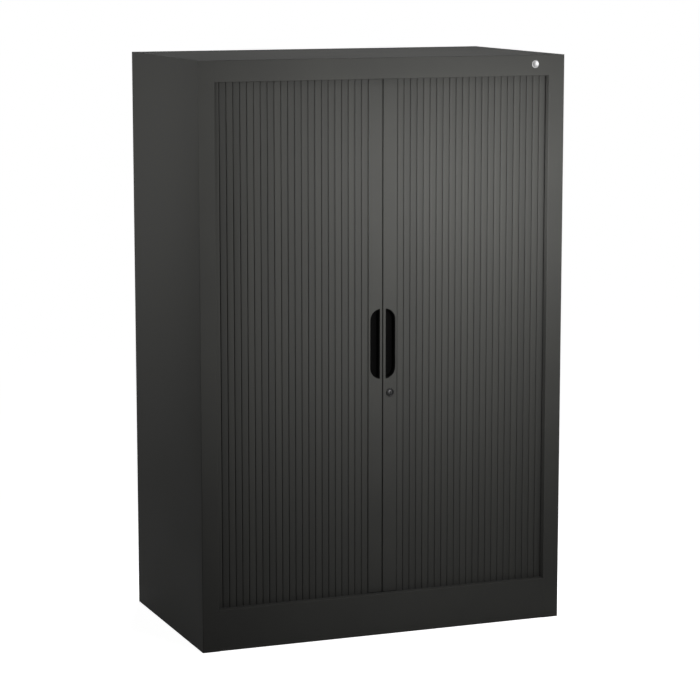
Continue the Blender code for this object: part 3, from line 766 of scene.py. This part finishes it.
# %% Plug with its key slot
plug_face_y, pin_end_y = span("lock_plug", "y")
face_height = post_face_y - plug_face_y
pin_end = post_face_y - pin_end_y
PLUG_PROFILE = (
    (0.3 * MM, face_height),
    (2.4 * MM, face_height - 0.12 * MM),
    (4.2 * MM, face_height - 0.4 * MM),
    (5.1 * MM, face_height - 0.75 * MM),
    (5.4 * MM, face_height - 1.1 * MM),
    (5.4 * MM, barrel_end),
    (2.6 * MM, barrel_end),
    (2.6 * MM, pin_end + 0.3 * MM),
    (2.3 * MM, pin_end),
)
KEY_SLOT_BLOCK = Vector((1.3 * MM, 8.0 * MM, 6.2 * MM))
KEY_SLOT_DEPTH = 3.0 * MM
plug = turned("lock_plug_face", PLUG_PROFILE, lock_centre)
block = bmesh.new()
bmesh.ops.create_cube(block, size=1)
bmesh.ops.scale(block, vec=KEY_SLOT_BLOCK, verts=block.verts)
block_y = plug_face_y + KEY_SLOT_DEPTH - KEY_SLOT_BLOCK.y / 2
bmesh.ops.translate(block, vec=(lock_x, block_y, lock_z), verts=block.verts)
cutter = finish_mesh("key_slot_cutter", block)
cut = plug.modifiers.new("key_slot", "BOOLEAN")
cut.object = cutter
cut.operation = "DIFFERENCE"
bpy.context.view_layer.update()
depsgraph = bpy.context.evaluated_depsgraph_get()
cut_mesh = bpy.data.meshes.new_from_object(plug.evaluated_get(depsgraph))
plug.modifiers.clear()
plug.data = cut_mesh
plug.data.set_sharp_from_angle(angle=SMOOTH_BELOW)
bpy.data.objects.remove(cutter)
fit(plug, "lock_metal", "lock", "lock_plug")
# The plug's face gets the lighter copy of the lock metal: a painted glint.
plug.material_slots[0].material = PLUG_METAL_PAINTED_GLINT.material
print(plug.name, "has", len(plug.data.polygons), "faces after the key slot is cut")

# %% [markdown]
# ## The badge
#
# A blank disc of brushed metal is pressed into the top rail, flush with the paint. Its face is a shallow
# dish inside a narrow flat rim, so it is bright on one side and grey on the other, as a dished thing is.
# A flat disc would be one tone all over and look like paper.

# %% Build the badge
badge_low, badge_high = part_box("badge_blank")
badge_centre = ((badge_low.x + badge_high.x) / 2, badge_low.y, (badge_low.z + badge_high.z) / 2)
badge_depth = badge_low.y - badge_high.y
BADGE_PROFILE = (
    (0.5 * MM, -0.9 * MM),
    (2.0 * MM, -0.84 * MM),
    (4.0 * MM, -0.6 * MM),
    (5.6 * MM, -0.3 * MM),
    (6.7 * MM, -0.04 * MM),
    (7.0 * MM, 0.0),
    (7.6 * MM, 0.0),
    (7.9 * MM, -0.12 * MM),
    (8.0 * MM, -0.4 * MM),
    (8.0 * MM, badge_depth + 1.0 * MM),
    (10.0 * MM, badge_depth + 1.0 * MM),
    (10.0 * MM, badge_depth),
    (0.5 * MM, badge_depth),
)
badge = turned("fascia_badge", BADGE_PROFILE, badge_centre)
fit(badge, "badge_metal", "cabinet", "badge_blank")
print(badge.name, "is", round((badge_high.x - badge_low.x) / MM, 1), "mm across its flange")

# %% [markdown]
# ## Filled seams
#
# The top rail and the plinth end against the rounded folds of the stiles, which leaves a V-shaped groove.
# On the real cabinet it is filled and rubbed flush before the paint, and nothing shows. A thin
# three-sided strip in each groove does the same: its flat side lies a hair behind the faces on both sides
# of it.

# %% Fill the four seams
FILLER_SET_BACK = 0.05 * MM
FILLER_DEPTH = 0.9 * MM
FILLER_ONTO_RAIL = 0.4 * MM
FILLER_ONTO_STILE = 1.2 * MM
FILLER_ROOT = 0.2 * MM
FOLD = 1.6 * MM
rail_low, rail_high = span("top_panel", "z")
plinth_low, plinth_high = span("front_plinth", "z")
stile_x = -span("left_side_panel", "x")[1]
front_y = span("top_panel", "y")[0]


def seam_filler(name, side, bottom, top):
    section = (
        (side * (stile_x - FILLER_ONTO_RAIL), front_y + FILLER_SET_BACK),
        (side * (stile_x + FILLER_ONTO_STILE), front_y + FILLER_SET_BACK),
        (side * (stile_x + FILLER_ROOT), front_y + FILLER_DEPTH),
    )
    strip = extruded(name, [section], bottom, top)
    strip.data.materials.append(POWDER_COAT.material)
    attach(strip, "cabinet")


for name, side in SIDES.items():
    seam_filler(f"{name}_rail_seam", side, rail_low + FOLD, rail_high - FOLD)
    seam_filler(f"{name}_plinth_seam", side, plinth_low, plinth_high - FOLD)
print("Four seams are filled beside x =", round(stile_x, 4), "m")

# %% [markdown]
# ## Soft edges for the folded steel
#
# The panels, posts, tracks and shelves already have their shape, so they stay as they are and only get
# modifiers. The frame's solids are made of loose triangles: Weld joins them, Decimate takes out the lines
# across flat faces, Bevel breaks each sharp edge by a fraction of a millimetre, and Weighted Normal keeps
# the flats flat. A real sheet edge is never a perfect corner: it catches a thin line of light, and
# without that line a render looks like a drawing.

# %% Edge widths
EDGE_WIDTHS = {
    "graphite_powder_coat": 0.3 * MM,
    "track_plastic": 0.25 * MM,
    "zinc_plated_steel": 0.15 * MM,
}
BEVEL_ABOVE = math.radians(50)
FLAT_BELOW = math.radians(1)
WELD_WITHIN = 0.005 * MM


def soften(obj, width):
    """Breaks the sharp edges of a solid with modifiers, and leaves its mesh as it is."""
    weld = obj.modifiers.new("weld", "WELD")
    weld.merge_threshold = WELD_WITHIN
    flats = obj.modifiers.new("flats", "DECIMATE")
    flats.decimate_type = "DISSOLVE"
    flats.angle_limit = FLAT_BELOW
    bevel = obj.modifiers.new("edges", "BEVEL")
    bevel.width = width
    bevel.segments = 2
    bevel.limit_method = "ANGLE"
    bevel.angle_limit = BEVEL_ABOVE
    obj.data.shade_smooth()
    weigh_normals(obj)


# %% Dress every node that stays
kept = [node for node in frame["nodes"].values() if not node.hide_render]
for node in kept:
    slot = node.data.materials[0].name
    node.material_slots[0].material = FINISHES[slot].material
    soften(node, EDGE_WIDTHS[slot])
print(len(kept), "nodes keep their shape and get soft edges")

# %% [markdown]
# ## The studio
#
# The picture was taken on white. White could come from more light on the floor, but that light would wash
# out the graphite too. So the floor and the world glow by themselves, and only for the rays that come
# straight from the camera or from a reflection. For every other ray the world is nearly dark, and the
# floor is a plain pale floor that takes the soft shadow at the foot of the cabinet.

# %% Light path: what the camera and the mirrors see
def seen_directly(nodes):
    """1 for rays from the camera, and for those that a mirror or a glass passes on."""
    total = 0.0
    for ray in ("Is Camera Ray", "Is Glossy Ray", "Is Transmission Ray"):
        total = nodes.node("ShaderNodeLightPath", {}, {}, ray) + total
    return nodes.node("ShaderNodeClamp", {}, {0: total})


# %% Floor
FLOOR_SIZE = 30.0
FLOOR_SHADE = 0.8
FLOOR_ROUGHNESS = 0.9
FLOOR_GLOW = 0.96
WHITE = grey(1.0)
floor_mesh = bmesh.new()
bmesh.ops.create_grid(floor_mesh, x_segments=1, y_segments=1, size=FLOOR_SIZE)
floor = finish_mesh("studio_floor", floor_mesh)
paint = Finish("pale_floor", specular=0.0)
paint.set("Base Color", grey(FLOOR_SHADE))
paint.set("Roughness", FLOOR_ROUGHNESS)
strength = seen_directly(paint) * FLOOR_GLOW
glow = paint.node("ShaderNodeEmission", {}, {"Color": WHITE, "Strength": strength})
lit = Wire(paint, paint.shader.outputs[0])
both = paint.node("ShaderNodeAddShader", {}, {0: lit, 1: glow})
paint.feed(paint.tree.nodes["Material Output"].inputs["Surface"], both)
floor.data.materials.append(paint.material)
print("The floor reaches", FLOOR_SIZE, "m each way")

# %% World
AMBIENT = 0.05
world = bpy.data.worlds.new("white_studio")
bpy.context.scene.world = world
world.use_nodes = True
sky = Nodes(world.node_tree)
background = sky.tree.nodes["Background"]
sky.feed(background.inputs["Color"], WHITE)
sky.feed(background.inputs["Strength"], AMBIENT + seen_directly(sky) * (1 - AMBIENT))
print("The world lights the cabinet at", AMBIENT, "and shows itself at 1")

# %% [markdown]
# ## Lamps
#
# The doors are brightest at the upper right and fade to a dark grey at the foot, so the main lamp is a
# soft one close to the cabinet: light from near by falls off fast, where a lamp far away would light all
# of it alike. Every other part has a lamp of its own, which can be set without upsetting the rest. Most
# have a narrow spread, as if a grid was fixed in front of them. The one high in front is large and weak,
# because a small one would throw a hard shadow of the top rail on the slats. Two plain lamps light the
# right side and the back.

# %% Softboxes
SOFTBOXES = {
    # name: place, what it points at, its side in metres, watts, spread in degrees
    "front_softbox": ((0.07, -0.84, 0.79), (0.07, -0.22, 0.8), 0.5, 4.4, 154),
    "left_front_softbox": ((-1.1, -1.5, 1.3), (-0.2, -0.22, 1.18), 0.3, 0.3, 26),
    "upper_right_softbox": ((0.37, -0.75, 1.06), (0.37, -0.22, 1.01), 0.4, 1.6, 140),
    "left_softbox": ((-3.0, -0.8, 1.6), (-0.4, 0.15, 1.03), 0.6, 2.25, 31),
    "jamb_softbox": ((-0.9, -0.75, 1.05), (0.365, -0.22, 0.95), 0.2, 0.45, 26),
    "high_softbox": ((0.4, -1.5, 2.5), (0.25, -0.22, 1.25), 0.9, 0.8, 34),
    "top_softbox": ((0.2, -0.1, 2.5), (0.15, -0.1, 1.2), 0.5, 0.5, 44),
    "right_softbox": ((2.4, 0.2, 0.75), (0.4, 0.0, 0.7), 0.8, 9.0, 60),
    "back_softbox": ((0.8, 2.1, 0.75), (0.0, 0.22, 0.7), 0.8, 10.0, 60),
}


def softbox(name, place, target, size, power, spread):
    """A square lamp that points at a target and stays out of the picture itself."""
    lamp = bpy.data.lights.new(name, "AREA")
    lamp.shape = "SQUARE"
    lamp.size = size
    lamp.energy = power
    lamp.spread = math.radians(spread)
    obj = bpy.data.objects.new(name, lamp)
    bpy.context.scene.collection.objects.link(obj)
    obj.location = place
    obj.rotation_euler = (Vector(target) - Vector(place)).to_track_quat("-Z", "Y").to_euler()
    obj.visible_camera = False


for name, settings in SOFTBOXES.items():
    softbox(name, *settings)
print(len(SOFTBOXES), "lamps give", round(sum(settings[3] for settings in SOFTBOXES.values()), 2), "W")

# %% [markdown]
# ## Camera
#
# The picture was taken from the front and left of the cabinet and a little above it, from far enough away
# that the far edge of the top is nearly as wide as the near one. So the camera stands more than five
# metres off, and a long lens fills the picture from there. Its place, pan and tilt were worked out from
# where the corners of the cabinet are in the picture. It has no shift: the uprights then lean out a
# little, but every other view stays centred.

# %% Place the camera
LENS = 131.77
SENSOR_WIDTH = 36.0
PAN = math.radians(21.47)
TILT = math.radians(9.08)
VIEWPOINT = (-1.9715, -5.0376, 1.4332)
camera = bpy.data.objects.new("camera", bpy.data.cameras.new("camera"))
bpy.context.scene.collection.objects.link(camera)
camera.data.lens = LENS
camera.data.sensor_width = SENSOR_WIDTH
camera.location = VIEWPOINT
camera.rotation_euler = (math.pi / 2 - TILT, 0, -PAN)
bpy.context.scene.camera = camera
bpy.context.scene.view_settings.view_transform = "Standard"
print("The camera stands", round(math.hypot(*VIEWPOINT[:2]), 2), "m from the middle of the cabinet")

# %% The end of the script
bpy.context.view_layer.update()
